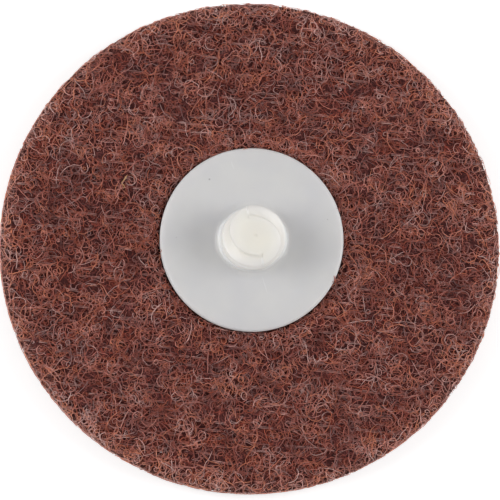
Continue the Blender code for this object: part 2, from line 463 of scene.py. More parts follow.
def tubes(name, paths, radius, up, tint, hue):
    """Closed three-sided tubes along many paths, with a map that gives each its own cell.

    A ring's corners are path + radius * (cos a * side + sin a * up), where side is the tangent
    crossed with up. Each fibre's map is a cell whose column says how light it is and whose row
    how red, and along the fibre the cell runs from one end to the other.
    """
    count, points = paths.shape[:2]
    tangent = to_unit(np.gradient(paths, axis=1))
    side = to_unit(np.cross(tangent, up))
    over = np.cross(side, tangent)
    corner = np.radians(90 + np.arange(FIBRE_SIDES) * 360 / FIBRE_SIDES)
    around = np.cos(corner)[:, None] * side[:, :, None] + np.sin(corner)[:, None] * over[:, :, None]
    rings = paths[:, :, None] + around * radius[:, :, None, None]
    ends = [0, -1]
    tips = paths[:, ends] + tangent[:, ends] * radius[:, ends, None] * np.array([[-0.6], [0.6]])
    verts = np.concatenate([rings.reshape(count, -1, 3), tips], axis=1)
    per = verts.shape[1]

    ring = np.arange(points * FIBRE_SIDES).reshape(points, FIBRE_SIDES)
    following = np.roll(ring, -1, axis=1)
    quads = np.stack([ring[:-1], ring[1:], following[1:], following[:-1]], axis=-1).reshape(-1, 4)
    first, last = points * FIBRE_SIDES, points * FIBRE_SIDES + 1
    start_cap = np.stack([np.full(FIBRE_SIDES, first), ring[0], following[0]], axis=-1)
    end_cap = np.stack([np.full(FIBRE_SIDES, last), following[-1], ring[-1]], axis=-1)
    caps = np.concatenate([start_cap, end_cap])

    each_step, each_side = np.indices((points - 1, FIBRE_SIDES))
    quad_u = (each_side[..., None] + [0, 0, 1, 1]) / FIBRE_SIDES
    quad_v = (each_step[..., None] + [0, 1, 1, 0]) / (points - 1)
    cap_u = np.tile(np.arange(FIBRE_SIDES)[:, None] + [0.5, 0, 1], (2, 1)) / FIBRE_SIDES
    cap_v = np.repeat([[0.5 / points, 0, 0], [1 - 0.5 / points, 1, 1]], FIBRE_SIDES, axis=0)
    cell_u = np.concatenate([quad_u.ravel(), cap_u.ravel()])
    cell_v = np.concatenate([quad_v.ravel(), cap_v.ravel()])
    span = 1 - 2 * CELL_MARGIN
    kinds = np.broadcast_arrays(tint, hue, radius[:, 0])[:2]
    column, row = (np.clip(kind * TINTS, 0, TINTS - 1).astype(int)[:, None] for kind in kinds)
    map_u = (column + CELL_MARGIN + span * cell_u) / TINTS
    map_v = (row + CELL_MARGIN + span * cell_v) / TINTS

    corners = np.concatenate([quads.ravel(), caps.ravel()])
    all_corners = (corners + per * np.arange(count)[:, None]).ravel()
    all_sizes = np.tile(np.repeat([4, 3], [len(quads), len(caps)]), count)
    mesh = bpy.data.meshes.new(name)
    mesh.vertices.add(count * per)
    mesh.vertices.foreach_set("co", verts.ravel().astype(np.float32))
    mesh.loops.add(len(all_corners))
    mesh.loops.foreach_set("vertex_index", all_corners.astype(np.int32))
    mesh.polygons.add(len(all_sizes))
    starts = np.cumsum(all_sizes) - all_sizes
    mesh.polygons.foreach_set("loop_start", starts.astype(np.int32))
    mesh.update(calc_edges=True)
    layer = mesh.uv_layers.new(name="OFBake")
    layer.data.foreach_set("uv", np.stack([map_u, map_v], axis=-1).ravel().astype(np.float32))
    mesh.validate()
    mesh.shade_smooth()
    return mesh


MAROON_SHADES = [
    (0.00, (0.085, 0.019, 0.016)),
    (0.30, (0.22, 0.052, 0.041)),
    (0.60, (0.40, 0.112, 0.083)),
    (0.85, (0.60, 0.215, 0.165)),
    (1.00, (0.80, 0.380, 0.315)),
]
GREY_SHADES = [
    (0.00, (0.065, 0.027, 0.027)),
    (0.30, (0.17, 0.080, 0.078)),
    (0.60, (0.36, 0.195, 0.185)),
    (1.00, (0.82, 0.560, 0.520)),
]
BRICK_SHADES = [
    (0.00, (0.100, 0.014, 0.010)),
    (0.30, (0.24, 0.046, 0.026)),
    (0.60, (0.44, 0.100, 0.052)),
    (1.00, (0.80, 0.300, 0.170)),
]


def coated_fibre_material():
    """Resin-coated fibre: lightness from the map's columns, from brick to grey by its rows."""
    material, tree, shader = blank("coated_fibre")
    cell = node(tree, "UVMap", uv_map="OFBake")
    lightness, greyness, _ = node(tree, "SeparateXYZ", {0: cell}).outputs
    shades = (MAROON_SHADES, GREY_SHADES, BRICK_SHADES)
    maroon, grey, brick = (shade(tree, lightness, stops) for stops in shades)
    tone = blended(tree, mapped(tree, greyness, 0.62, 1.0), maroon, grey)
    tone = blended(tree, mapped(tree, greyness, 0.45, 0.1), tone, brick)
    # Painted highlights and shade along each fibre: its tint brightens and darkens in short runs,
    # gloss with it.
    along = noise(tree, vector(tree, "MULTIPLY", cell, (24.0, 210.0, 1.0)), 1.0)
    coated = blended(tree, 1.0, tone, mapped(tree, along, 0.3, 0.7, 0.5, 1.35), "MULTIPLY")
    gloss = mapped(tree, along, 0.3, 0.7, 0.32, 0.62)
    wire(shader, {"Base Color": coated, "Roughness": gloss, "Specular IOR Level": 0.5})
    return material


coated_fibre = coated_fibre_material()


def show_fibres(name, paths, radius, tint, hue, up=(0.0, 0.0, 1.0), finish=coated_fibre):
    """Shows fibres along the given paths as one piece of the web."""
    show(name, tubes(name, paths, radius, up, tint, hue), finish)


def depth_along(draw, count, shallow, deep, ripple, dive):
    """Each fibre's depth: its own level, a slow ripple, and a dive that grows at both ends."""
    level = shallow + (deep - shallow) * draw.uniform(0, 1, (count, 1)) ** 1.2
    cycle = ALONG * draw.uniform(0.6, 1.8, (count, 1)) + draw.uniform(0, 1, (count, 1))
    ends = dive * draw.uniform(0.3, 1.0, (count, 1)) * np.abs(2 * ALONG - 1) ** 4
    return level + ripple * np.sin(math.tau * cycle) + ends


def fibre_radius(draw, count):
    """Each fibre's own thickness, easing down to six tenths at both ends."""
    own = FIBRE_RADIUS * draw.uniform(0.72, 1.30, (count, 1))
    return own * (1 - 0.4 * np.abs(2 * ALONG - 1) ** 6)


def patches(places, seed):
    """Soft patches of unit strength in the web: clouds of about 1, 2, 3 and 5 mm, summed."""
    sizes = (1.1 * MM, 1.9 * MM, 3.2 * MM, 5.2 * MM)
    total = sum(cloud(places, size, seed + i) for i, size in enumerate(sizes))
    return total / math.sqrt(len(sizes))


def on_open_back(place):
    """True inside the outline and outside the flange."""
    within = rim_share(place) < 1 + OUTLINE_PROUD / HALF_LONG
    return within & (from_button(place) > FLANGE_RADIUS + FLANGE_CLEAR)


def scattered(draw, count):
    """Places spread evenly over the whole oval of the disc."""
    far = np.sqrt(draw.uniform(0, 1, count))
    return far[:, None] * HALF_AXES * unit_at(draw.uniform(0, math.tau, count))


def curled_walks(draw, start, allowed, count, reach=1.0):
    """Curled walks from the given places, cut off at the bounds of the allowed region.

    Each has a curl, which is one over its loop's radius, and a step that suits it.
    """
    curl = np.minimum(draw.gamma(2.4, 0.72, len(start)), TIGHTEST_CURL) / MM
    step = np.clip(0.62 / curl, 0.22 * MM, 0.49 * MM) * reach
    return cut_short(wander(draw, curl, step) + start[:, None], allowed)[:count]


def tints(draw, palest, depth_shade, depth, spread):
    """How light each fibre is: palest at the top, painted shade by its mean depth, a random spread."""
    return palest - depth_shade * depth.mean(axis=1) / (0.5 * MM) + spread * draw.normal(size=len(depth))


def lay_back(name, draw, count):
    """One tangle of fibres over the open back, thicker in some patches than in others."""
    start = scattered(draw, count * 2)
    likely = 0.65 + 0.23 * patches(start, seed=44) + 0.05 * weft_rows(start)
    start = start[draw.uniform(0, 1, len(start)) < likely]
    walk = curled_walks(draw, start, on_open_back, count)
    depth = depth_along(draw, len(walk), *BACK_DEPTHS)
    depth -= PATCH_DEPTH * patches(walk, seed=44) + ROW_DEPTH * weft_rows(walk)
    depth = np.maximum(depth, 0)
    middle = walk[:, MIDDLE]
    # Painted light: fibres near the outline get a paler tint, up to the palest inside limit plus this.
    rim_light = smooth_rise((rim_share(middle) - RIM_LIGHT_FROM) / RIM_LIGHT_WIDTH)
    # Painted shade: the deeper a fibre lies, the darker its tint; near the outline, painted light.
    tint = 0.82 - 0.46 * depth.mean(axis=1) / (0.7 * MM) + 0.26 * rim_light
    tint += 0.155 * patches(middle, seed=70) + 0.09 * draw.normal(size=len(walk))
    tint = np.minimum(tint, PALEST_INSIDE + rim_light)
    hue = draw.uniform(0, 1, len(walk)) + 0.11 * patches(middle, seed=80)
    paths = raised(walk, back_height(walk) - FIBRE_RADIUS - depth)
    show_fibres(name, paths, fibre_radius(draw, len(walk)), tint, hue)


for layer in range(BACK_LAYERS):
    lay_back(f"back_fibres_{layer + 1}", np.random.default_rng(100 + layer), BACK_FIBRES)


# The woven backing inside the web, which takes the pull of the stud: its weft shows here and
# there between the fibres as rows of paler threads, slightly askew, and the needling has made
# them wavy.

WEFT_ROWS = 33
WEFT_PIECES = 5
WEFT_RADIUS = 0.062 * MM
WEFT_STEP = 0.95 * MM
WEFT_SPREAD = 0.10 * MM
WEFT_SWAY = 0.05 * MM
WEFT_DEPTH = 0.62 * MM
WEFT_SWING = 0.10 * MM
WEFT_RISE = 0.36 * MM


def turned(x, y, turn):
    """Flat places turned about the middle."""
    cos, sin = np.cos(turn), np.sin(turn)
    return np.stack([x * cos - y * sin, x * sin + y * cos], axis=-1)


def weft_paths(draw):
    """Threads along parallel rows, two to a yarn: depth = mean + swing * wave - rise in patches."""
    row = np.arange(-WEFT_ROWS, WEFT_ROWS + 1)
    piece = np.arange(-WEFT_PIECES, WEFT_PIECES)
    twin = np.array([-1, 1])
    row, twin, piece = (v.ravel() for v in np.meshgrid(row, twin, piece, indexing="ij"))
    along = (piece[:, None] * FIBRE_STEPS + np.arange(FIBRE_STEPS + 1)) * WEFT_STEP
    phase = draw.uniform(0, math.tau, 2 * WEFT_ROWS + 1)[row + WEFT_ROWS][:, None]
    sway = WEFT_SWAY * np.sin(along / (1.9 * MM) + 2 * phase)
    across = row[:, None] * WEFT_PITCH + twin[:, None] * WEFT_SPREAD + sway
    walk = turned(along, across, WEFT_HEADING)
    starts_outside = ~on_open_back(walk[:, 0])
    walk[starts_outside] = walk[starts_outside, ::-1]
    walk = cut_short(walk, on_open_back)
    wave = np.sin(walk[..., 0] / (0.62 * MM) + walk[..., 1] * 3.1 / MM)
    cloudy = cloud(walk, 2.6 * MM, seed=48) + 0.6 * cloud(walk, 8 * MM, seed=49)
    depth = WEFT_DEPTH + WEFT_SWING * wave - WEFT_RISE * smooth_rise(cloudy - 1.1)
    return raised(walk, back_height(walk) - depth)


draw = np.random.default_rng(300)
weft = weft_paths(draw)
show_fibres(
    "weft_threads",
    weft,
    WEFT_RADIUS * draw.uniform(0.8, 1.2, (len(weft), FIBRE_STEPS + 1)),
    0.80 + 0.10 * draw.normal(size=len(weft)),
    draw.uniform(0.7, 0.95, len(weft)),
)


# The web against the flange: the hot button sinks in and pushes fibres up round its edge, where
# they lie along it, and a few stray ones end on top of the flange.

COLLAR_FIBRES = 480
COLLAR_WIDTH = 1.6 * MM
COLLAR_DEPTHS = np.array([0.0, 0.3, 0.08, 0.1]) * MM
STRAY_STEP = 0.10 * MM
STRAY_RISE = 0.6 * MM
STRAYS = (  # place round the flange in mm, and heading
    (13.45, 4.40, 1.9),
    (13.55, 4.20, 2.3),
    (12.60, -6.30, 1.9),
    (12.65, -6.35, 1.3),
    (12.35, -6.75, 0.9),
    (12.75, -6.15, 2.3),
    (-13.90, -1.55, -0.9),
    (3.20, 13.70, 1.2),
    (3.40, -13.95, 0.2),
    (-0.60, 13.90, 2.9),
)


def collar_paths(draw, count):
    """Fibres round the flange that stand up against it: lift falls off from its edge outward."""
    unit = unit_at(draw.uniform(0, math.tau, count * 2))
    out = FLANGE_RADIUS + 0.1 * MM + COLLAR_WIDTH * draw.uniform(0, 1, (count * 2, 1)) ** 1.6
    start = unit * out + np.array([0, BUTTON_Y])
    walk = curled_walks(draw, start, on_open_back, count)
    away = (from_button(walk) - FLANGE_RADIUS) / COLLAR_WIDTH
    lift = draw.uniform(-0.1, 0.5, (len(walk), 1)) * MM * (1 - smooth_rise(away))
    height = back_height(walk) - depth_along(draw, len(walk), *COLLAR_DEPTHS) + lift
    return raised(walk, np.minimum(height, FLANGE_TOP - FIBRE_RADIUS))


def stray_paths(draw):
    """Short fibres over the flange's edge: a walk from each given place, at the flange's top."""
    strays = np.array(STRAYS)
    curl = draw.uniform(1.8, 3.2, len(strays)) / MM
    walk = wander(draw, curl, np.full(len(strays), STRAY_STEP))
    turn = strays[:, 2] - np.arctan2(walk[:, 1, 1], walk[:, 1, 0])
    start = strays[:, :2] * MM + np.array([0, BUTTON_Y])
    walk = turned(walk[..., 0], walk[..., 1], turn[:, None]) + start[:, None]
    over = smooth_rise((FLANGE_RADIUS + STRAY_RISE - from_button(walk)) / STRAY_RISE)
    return raised(walk, BACK + (FLANGE_PROUD + FIBRE_RADIUS) * over)


draw = np.random.default_rng(400)
collar = np.concatenate([collar_paths(draw, COLLAR_FIBRES), stray_paths(draw)])
show_fibres(
    "collar_fibres",
    collar,
    fibre_radius(draw, len(collar)),
    0.70 + 0.16 * draw.normal(size=len(collar)),
    draw.uniform(0, 1, len(collar)),
)


# The cut edge: the die leaves a close wall of fibre ends and short loops, a little paler with
# painted light, drawn in at the level of the woven backing.

EDGE_FIBRES = 1150
RIM_FIBRES = 400
RIM_WIDTH = 1.5 * MM
RIM_REACH = 0.8
RIM_DEPTHS = np.array([0, 0.25, 0.05, 0.2]) * MM
EDGE_DEPTHS = np.array([0, 0.15, 0.03, 0.15]) * MM
EDGE_FOOT = 0.15 * MM
EDGE_LOWEST = 0.12 * MM
EDGE_TOP = 5.3 * MM
FACE_ROUND = 0.6 * MM
WAIST_LEVEL = 4.5 * MM
WAIST_DEPTH = 0.10 * MM
WAIST_WIDTH = 0.35 * MM


def foot_round(distance):
    """The round between face and edge: how far it stands off at a distance from its start."""
    under = np.clip(1 - distance / FACE_ROUND, 0, 1)
    return FACE_ROUND * (1 - np.sqrt(1 - under**2))


def edge_depth(height):
    """How far the cut edge stands in from the outline: its waist and its round foot."""
    return WAIST_DEPTH * np.exp(-(((height - WAIST_LEVEL) / WAIST_WIDTH) ** 2)) + foot_round(height)


def on_edge(place):
    """True between the foot of the edge and the foot of the back's shoulder."""
    return (place[..., 1] > EDGE_LOWEST) & (place[..., 1] < EDGE_TOP)


def lay_edge(draw, count):
    """A tangle on the wall: a walk in (arc length, height), wrapped round the oval outline."""
    around = draw.uniform(-math.pi, math.pi, count * 2) * HALF_LONG
    level = 1 - draw.uniform(0, 1, count * 2) ** 1.5
    start = np.stack([around, EDGE_FOOT + (EDGE_TOP - EDGE_FOOT) * level], axis=-1)
    walk = curled_walks(draw, start, on_edge, count)
    depth = np.maximum(depth_along(draw, len(walk), *EDGE_DEPTHS), 0)
    depth = depth - OUTLINE_PROUD + edge_depth(walk[..., 1])
    unit = unit_at(walk[..., 0] / HALF_LONG)
    out = raised(unit, 0 * depth)
    paths = raised(unit * (HALF_AXES - depth[..., None]), walk[..., 1])
    # The edge's fibres start from a pale tint, painted light on the wall, and darken with depth as
    # painted shade.
    tint = tints(draw, 0.98, 0.3, depth, 0.15) + 0.08 * patches(paths[:, MIDDLE], seed=51)
    radius = fibre_radius(draw, len(walk))
    show_fibres("edge_fibres", paths, radius, tint, draw.uniform(0, 1, len(walk)), out)


def lay_rim(draw, count):
    """Fibres on the shoulder, paler with painted light: a flat tangle over the ring just inside the
    outline.
    """
    unit = unit_at(draw.uniform(0, math.tau, count * 2))
    inside = RIM_WIDTH * draw.uniform(0, 1, count * 2) ** 1.4 - OUTLINE_PROUD
    start = unit * (HALF_AXES - inside[:, None])
    walk = curled_walks(draw, start, on_open_back, count, RIM_REACH)
    depth = np.maximum(depth_along(draw, len(walk), *RIM_DEPTHS), 0)
    paths = raised(walk, back_height(walk) - FIBRE_RADIUS - depth)
    # The shoulder's fibres start from the palest tint, painted light.
    tint = tints(draw, 0.99, 0.3, depth, 0.12)
    radius = fibre_radius(draw, len(walk))
    show_fibres("rim_fibres", paths, radius, tint, draw.uniform(0, 1, len(walk)))


lay_edge(np.random.default_rng(500), EDGE_FIBRES)
lay_rim(np.random.default_rng(550), RIM_FIBRES)


# The abrasive face: the same fibres pressed flatter, with angular grains of mineral held on
# them by the resin, which makes this side darker and duller than the back.

FACE_FIBRES = 2100
FACE_GRAINS = 800
FACE_REACH = 1.2
FACE_DEPTHS = np.array([0.0, 0.36, 0.07, 0.3]) * MM
FACE_PATCH_DEPTH = 0.04 * MM
FACE_THICKER = 1.1


def on_face(place):
    """True inside the flat of the abrasive face."""
    return rim_share(place) < 1 - 0.25 * FACE_ROUND / HALF_LONG


def lay_face(draw, count):
    """A flat tangle under the disc: height = depth, plus the rise of the rounded foot."""
    walk = curled_walks(draw, scattered(draw, count * 2), on_face, count, FACE_REACH)
    depth = depth_along(draw, len(walk), *FACE_DEPTHS)
    depth = np.maximum(depth + FACE_PATCH_DEPTH * patches(walk, seed=61), 0)
    inside = (1 - rim_share(walk)) * HALF_LONG
    paths = raised(walk, 1.5 * FIBRE_RADIUS + depth + foot_round(inside))
    tint = tints(draw, 0.66, 0.5, depth, 0.14) + 0.08 * patches(walk[:, MIDDLE], seed=64)
    radius = fibre_radius(draw, len(walk)) * FACE_THICKER
    hue = draw.uniform(0.1, 0.9, len(walk))
    show_fibres("face_fibres", paths, radius, tint, hue, up=(0.0, 0.0, -1.0))


lay_face(np.random.default_rng(600), FACE_FIBRES)


def show_grains(name, draw, centres, size, tint, hue, finish=coated_fibre):
    """Angular grains: short fat tubes of four rings, thick in the middle, turned any way."""
    count = len(centres)
    axis = to_unit(draw.normal(size=(count, 3)))
    along = np.array([-0.9, -0.3, 0.4, 0.9])[None, :, None]
    paths = centres[:, None] + axis[:, None] * along * size[:, None, None]
    shape = np.array([0.35, 0.95, 0.8, 0.25]) + 0.12 * draw.normal(size=(count, 4))
    radius = np.abs(shape) * size[:, None]
    show_fibres(name, paths, radius, tint, hue, draw.normal(size=(count, 1, 3)), finish)


draw = np.random.default_rng(650)
place = scattered(draw, FACE_GRAINS) * CUT_FROM
grain_size = draw.uniform(0.05, 0.11, FACE_GRAINS) * MM
show_grains(
    "face_grains",
    draw,
    raised(place, grain_size + draw.uniform(0, 0.3 * MM, FACE_GRAINS)),
    grain_size,
    draw.uniform(0.05, 0.45, FACE_GRAINS),
    draw.uniform(0.5, 1.0, FACE_GRAINS),
)


# Drops of hardened resin between the fibres of the back: small dark red ones, and a few bright
# flecks of bare mineral that catch the light.

RESIN_DROPS = 420
FLECK_DEPTH = 0.07 * MM
FLECKS = (  # place and size in mm
    (-33.2, -10.6, 0.11),
    (-33.9, -3.4, 0.07),
    (-25.9, -8.2, 0.06),
    (-33.0, -1.6, 0.05),
    (-13.7, -31.2, 0.10),
    (-22.1, -22.2, 0.10),
    (-24.1, 22.3, 0.08),
    (-3.2, 26.5, 0.07),
    (26.7, -22.7, 0.07),
    (14.8, -26.0, 0.05),
    (21.0, 22.5, 0.05),
)
GOLDEN_FIBRE = (-19.7, 9.8)
GOLDEN_DEPTH = 0.04 * MM
GOLDEN_THICKER = 1.2


def cloudy_material(name, roughness, waves, dark, pale):
    """One tint that clouds over into another."""
    material, tree, shader = blank(name)
    tone = shade(tree, noise(tree, places_on(tree), waves), [(0.35, dark), (0.65, pale)])
    wire(shader, {"Base Color": tone, "Roughness": roughness})
    return material


bare_mineral = cloudy_material("bare_mineral", 0.25, 2500.0, (0.42, 0.40, 0.38), (0.85, 0.86, 0.84))
undyed_fibre = cloudy_material("undyed_fibre", 0.4, 1800.0, (0.52, 0.27, 0.12), (0.80, 0.52, 0.24))

draw = np.random.default_rng(700)
place = scattered(draw, RESIN_DROPS * 2)
place = place[on_open_back(place * 1.01)][:RESIN_DROPS]
drop_depth = draw.uniform(0.12, 0.40, len(place)) * MM
show_grains(
    "resin_drops",
    draw,
    raised(place, back_height(place) - drop_depth),
    draw.uniform(0.07, 0.15, len(place)) * MM,
    draw.uniform(0.15, 0.6, len(place)),
    draw.uniform(0.0, 0.45, len(place)),
)

flecks = np.array(FLECKS) * MM
place = raised(flecks[:, :2], back_height(flecks) - FLECK_DEPTH)
show_grains("mineral_flecks", draw, place, flecks[:, 2], 0.5, 0.5, bare_mineral)

walk = wander(draw, np.full(2, 2.4 / MM), np.full(2, 0.16 * MM)) + np.array(GOLDEN_FIBRE) * MM
golden = raised(walk, back_height(walk) - GOLDEN_DEPTH)
golden_radius = fibre_radius(draw, len(golden)) * GOLDEN_THICKER
show_fibres("golden_fibre", golden, golden_radius, 0.5, 0.5, finish=undyed_fibre)


# The button, moulded in natural nylon: a thin flange, a low boss of two lobes and a stud with two
# right-hand grooves that start bluntly at the mould's parting plane, wind down to the boss and
# lift out. The stud is thick enough to glow; the flange lets the dark web through.

STUD_TOP = button_high.z
FLANGE_BASE = button_low.z
FLANGE_EDGE = 0.4 * MM
FLANGE_RINGS = (13.2, 12.0, 10.6, 9.2, 8.0, 7.0, 6.3)
BOSS_LONG = 5.3 * MM
BOSS_SHORT = 4.90 * MM
BOSS_TOP = FLANGE_TOP + 1.2 * MM
BOSS_FILLET = 0.5 * MM
BOSS_EDGE = 0.32 * MM
STUD_FILLET = 0.20 * MM
LOBE_START = math.radians(-45)
LOBE_STEP = math.radians(26)
LOBE_HOLD = math.radians(52)
LOBE_FADE = math.radians(84)
WIDER_FOOT = 2.2
CREST = 4.75 * MM
ROOT = 2.93 * MM
GROOVE_DEPTH = CREST - ROOT
LEAD = 7.0 * MM
GROOVE_LOW = -0.34 * MM
GROOVE_HIGH = 0.85 * MM
SHELF_DROP = 0.45 * MM
SLOPE_RISE = 1.6 * MM
START_ANGLE = math.radians(-73.6)
START_WALL = math.radians(2.8)
NEAR_START = np.radians([-0.5, -0.1, 0.4, 0.9, 1.4, 1.9, 2.5, 3.1])
WALL_LEAN_IN = math.radians(5.0)
WALL_LEAN_OUT = math.radians(-4.0)
WALL_SPREAD = math.radians(12)
START_RISE = 0.04 * MM
GROOVE_SWEEP = math.radians(270)
GROOVE_RUN_OUT = math.radians(45)
EDGE_EASE = 0.17 * MM
PAST_CREST = 1.1
TIP_RADII = np.array([0, 0.18, 0.34, 2.75, 3.1, 4.3, 4.5, 4.8]) * MM
TIP_DROPS = np.array([0.05, 0.05, 0.0, 0.0, 0.06, 0.38, 0.51, 0.86]) * MM
TIP_ROUND = 0.32 * MM
TIP_ROUND_AT_START = 0.12 * MM
TIP_TRIES = 40
END_SHARES = np.array([0.94, 0.87, 0.78, 0.68, 0.57, 0.46, 0.35, 0.24, 0.15])
GATE_RADII = np.array([0.36, 0.25, 0.12]) * MM
STUD_ROWS = 70
CLOSER_AT_TIP = 1.6
STUD_COLUMNS = 180
HAIR = 0.001 * MM


def groove_radius(angle, height, first_angle):
    """Distance of a groove's surface from the axis: root + both sides + run-out + blunt start.

    Turned is how far the groove has wound down from its start, and its helix line falls by the
    lead for each turn. Away from the floor, the slope gains the groove's depth over the slope's
    rise, and the shelf over its drop.
    """
    turned = (first_angle - angle + math.pi / 2) % math.tau - math.pi / 2
    over = height - (STUD_TOP + START_RISE - LEAD * turned / math.tau)
    slope = GROOVE_DEPTH / SLOPE_RISE * np.logaddexp(0, (over - GROOVE_HIGH) / EDGE_EASE) * EDGE_EASE
    shelf = GROOVE_DEPTH / SHELF_DROP * np.logaddexp(0, (GROOVE_LOW - over) / EDGE_EASE) * EDGE_EASE
    run_out = np.clip(1 - (GROOVE_SWEEP - turned) / GROOVE_RUN_OUT, 0, None)
    wall = np.clip(-turned / START_WALL, 0, None)
    past_crest = PAST_CREST * GROOVE_DEPTH
    return ROOT + slope + shelf + past_crest * run_out + past_crest * wall


def stud_radius(angle, height):
    """The stud's radius: the least of its crest and its two grooves, with eased edges."""
    nearest = np.full(np.broadcast(angle, height).shape, -CREST / EDGE_EASE)
    for start in range(2):
        groove = groove_radius(angle, height, START_ANGLE + start * math.pi)
        nearest = np.logaddexp(nearest, -groove / EDGE_EASE)
    return -EDGE_EASE * nearest


def tip_height(radius):
    """Height of the stud's end: a shallow gate mark, a flat, a faint cone and a dropped edge."""
    return STUD_TOP - np.interp(radius, TIP_RADII, TIP_DROPS)


def quarter(centre_r, centre_z, radius, start, end, points=6):
    """Points (r, z) on an arc of a turned profile, angles in degrees."""
    unit = unit_at(np.radians(np.linspace(start, end, points)))
    return np.array([centre_r, centre_z]) + radius * unit


def near_start(angle):
    """Bell curve of the angle from the nearer of the two starts: 1 on it, 0 well away from it."""
    from_start = (angle - START_ANGLE + math.pi / 2) % math.pi - math.pi / 2
    return np.exp(-((from_start / WALL_SPREAD) ** 2))


def wall_lean(angle, radius):
    """Turn that squares the starts' walls to the mould's parting plane, less with less radius."""
    lean = np.interp(radius, [0, ROOT, CREST], [0, WALL_LEAN_IN, WALL_LEAN_OUT])
    return lean * near_start(angle)


def base_rows(angle):
    """Radius and height of the turned rows, from under the flange to the foot of the stud.

    The boss's rows are narrowed: crest + own width * share, where the share is 1 over the lobes
    and the short radius's between them. Past the boss, the foot spreads where it is narrow.
    """
    flange_r, foot = FLANGE_RADIUS - FLANGE_EDGE, BOSS_LONG + BOSS_FILLET
    profile = np.concatenate(
        [
            [[4 * MM, FLANGE_BASE], [9 * MM, FLANGE_BASE]],
            quarter(flange_r, FLANGE_BASE + FLANGE_EDGE, FLANGE_EDGE, -90, 0),
            quarter(flange_r, FLANGE_TOP - FLANGE_EDGE, FLANGE_EDGE, 0, 90),
            [[ring * MM, FLANGE_TOP] for ring in FLANGE_RINGS],
            quarter(foot, FLANGE_TOP + BOSS_FILLET, BOSS_FILLET, 270, 180),
            quarter(BOSS_LONG - BOSS_EDGE, BOSS_TOP - BOSS_EDGE, BOSS_EDGE, 0, 90),
            quarter(CREST + STUD_FILLET, BOSS_TOP + STUD_FILLET, STUD_FILLET, 270, 180, 4),
        ]
    )
    short_share = (BOSS_SHORT - CREST) / (BOSS_LONG - CREST)
    past_step = (angle - LOBE_START) % math.pi
    lobe = smooth_rise(past_step / LOBE_STEP) * (1 - smooth_rise((past_step - LOBE_HOLD) / LOBE_FADE))
    share = short_share + (1 - short_share) * lobe
    radius = np.repeat(profile[:, :1], len(angle), axis=1)
    past = np.clip(radius - BOSS_LONG, 0, None)
    narrowed = CREST + (radius - past - CREST) * share + past * (WIDER_FOOT + (1 - WIDER_FOOT) * lobe)
    on_boss = (profile[:, 1] > FLANGE_TOP - HAIR) & (profile[:, 0] < foot + HAIR)
    radius[on_boss] = narrowed[on_boss]
    return radius, np.repeat(profile[:, 1:], len(angle), axis=1)


def bend(first, corner, last):
    """Rows that bend past a corner, by (1 - t) squared, 2 t (1 - t) and t squared of the three."""
    t = np.linspace(0, 1, 6)[1:, None]
    return (1 - t) ** 2 * first + 2 * t * (1 - t) * corner + t**2 * last


def stud_rows(angle):
    """Radius and height of the stud's rows: its grooved side, the round of its tip, and its end.

    The tip's height depends on its radius, which depends on its height, so both are found by
    trying again from the last height.
    """
    top = np.full(len(angle), STUD_TOP)
    for _ in range(TIP_TRIES):
        top = (top + tip_height(stud_radius(angle, top))) / 2
    base = BOSS_TOP + STUD_FILLET
    rise = 1 - (1 - np.linspace(0, 1, STUD_ROWS + 1)[1:, None]) ** CLOSER_AT_TIP
    tip_round = TIP_ROUND + (TIP_ROUND_AT_START - TIP_ROUND) * near_start(angle)
    side_height = base + (top - tip_round - base) * rise
    side_radius = stud_radius(angle[None], side_height)
    corner_radius = stud_radius(angle, top)
    flat_from = corner_radius - tip_round
    gate = np.repeat(GATE_RADII[:, None], len(angle), axis=1)
    end_radius = np.concatenate([flat_from * END_SHARES[:, None], gate])
    round_radius = bend(side_radius[-1], corner_radius, flat_from)
    round_height = bend(side_height[-1], top, tip_height(flat_from))
    radius = np.concatenate([side_radius, round_radius, end_radius])
    return radius, np.concatenate([side_height, round_height, tip_height(end_radius)])


def button_places():
    """The button's grid of places: turned rows up to the boss, then the grooved stud."""
    even = np.arange(STUD_COLUMNS) * math.tau / STUD_COLUMNS
    at_starts = [START_ANGLE + NEAR_START, START_ANGLE + math.pi + NEAR_START]
    angle = np.sort(np.concatenate([even, *at_starts]) % math.tau)
    base_radius, base_height = base_rows(angle)
    stud_radii, stud_heights = stud_rows(angle)
    base = raised(unit_at(angle) * base_radius[..., None], base_height)
    leaning = unit_at(angle + wall_lean(angle, stud_radii))
    stud = raised(leaning * stud_radii[..., None], stud_heights)
    return np.concatenate([base, stud]) + np.array([0, BUTTON_Y, 0])


BOSS_NYLON = (0.860, 0.852, 0.838)
NYLON_BY_LEVEL = [  # thin flange, boss, its ledge, thick stud, grooves and tip
    (0.000, (0.680, 0.667, 0.666)),
    (0.040, BOSS_NYLON),
    (0.140, BOSS_NYLON),
    # The ledge's darker stop is painted shade, where the boss's ledge lies under the stud.
    (0.165, (0.770, 0.766, 0.756)),
    (0.190, (0.845, 0.826, 0.786)),
    (0.900, (0.835, 0.811, 0.758)),
    (0.960, (0.786, 0.762, 0.702)),
]
FLANGE_RIM_LIGHT = (0.72, 0.71, 0.70)
FOOT_PAINTED_LIGHT = (0.755, 0.737, 0.718)
WARM_MILK = (1.032, 1.030, 1.012)
COOL_MILK = (0.962, 0.964, 0.976)
BURNT_SPECK = (0.16, 0.13, 0.12)
PALE_SCUFF = (0.86, 0.86, 0.86)
PAINTED_EDGE_HIGHLIGHT = (0.97, 0.955, 0.925)
